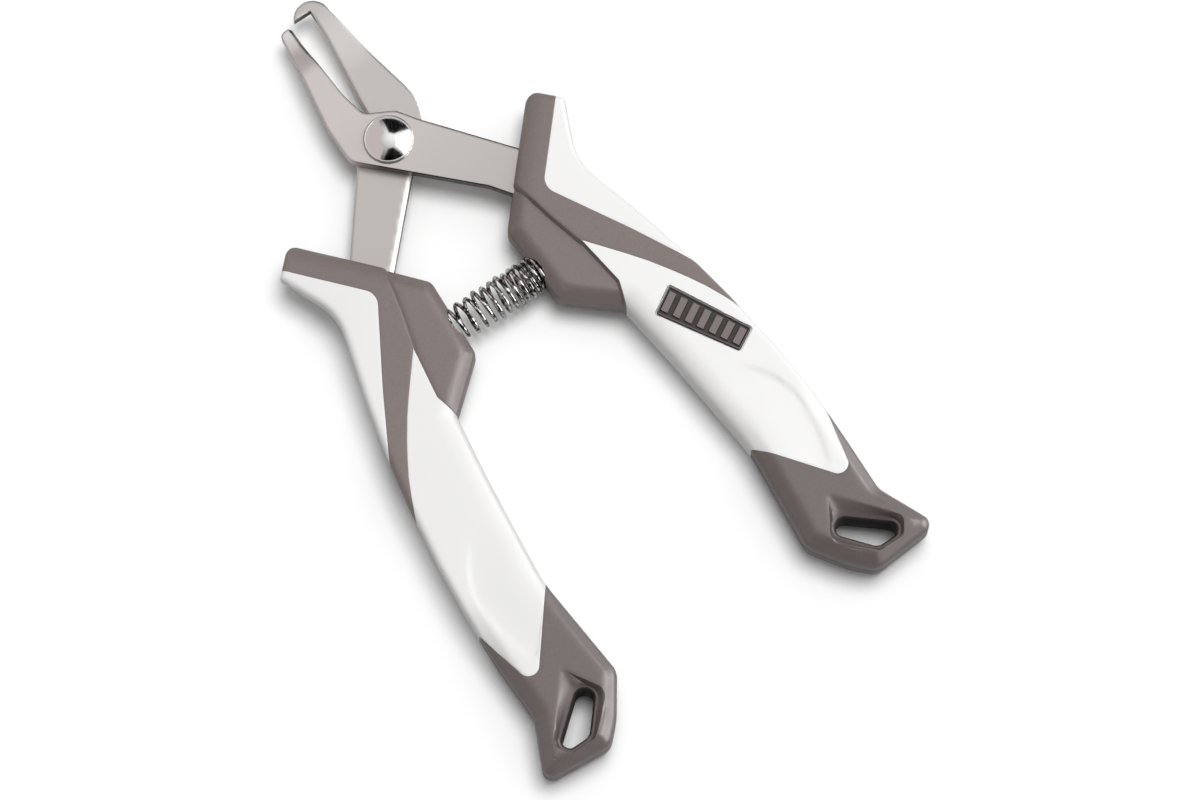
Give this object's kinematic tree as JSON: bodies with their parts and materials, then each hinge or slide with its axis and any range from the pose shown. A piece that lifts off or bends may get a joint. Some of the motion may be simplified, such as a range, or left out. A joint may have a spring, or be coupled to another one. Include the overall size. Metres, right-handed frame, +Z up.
{
  "type": "fishing pliers",
  "caption": "Split-ring pliers with a narrow nose jaw, a hooked jaw, a domed pivot, a cross-wise return spring and two-colour moulded handles ending in lanyard loops.",
  "frame": {"origin": "on the pivot axis, at the flat outer face of the rear cap", "axes": "+Y towards the jaws along the tool's length, +Z up out of the front face, +X towards the handle with the badge inlay"},
  "size_m": [0.0692, 0.1229, 0.01],
  "materials": {
    "plate_steel": "fine satin, with ground edges",
    "polished_steel": "mirror polish",
    "washer_steel": "bright, turned edge",
    "washer_bronze": "plain bronze",
    "spring_steel": "bright drawn wire",
    "white_plastic": "smooth, low sheen",
    "grey_rubber": "soft-touch warm grey, very fine grain",
    "badge_grey": "ribbed, dull"
  },
  "bodies": {
    "hook_side": {"hook_jaw_plate": "plate_steel", "left_guard_overmould": "grey_rubber", "left_end_overmould": "grey_rubber", "left_front_shell": "white_plastic", "left_rear_shell": "white_plastic", "pivot_post": "polished_steel", "pivot_cap": "polished_steel", "front_washer": "washer_steel", "shim_washer": "washer_bronze", "rear_washer": "washer_steel", "return_spring": "spring_steel"},
    "nose_side": {"nose_jaw_plate": "plate_steel", "right_guard_overmould": "grey_rubber", "right_end_overmould": "grey_rubber", "right_front_shell": "white_plastic", "right_rear_shell": "white_plastic", "badge_inlay": "badge_grey"}
  },
  "joints": [
    {"name": "jaw_pivot", "type": "hinge", "parent": "hook_side", "child": "nose_side", "pos_m": [0, 0, 0.00345], "axis": [0, 0, -1], "range_deg": [0, 9], "deforming": ["return_spring"]}
  ]
}
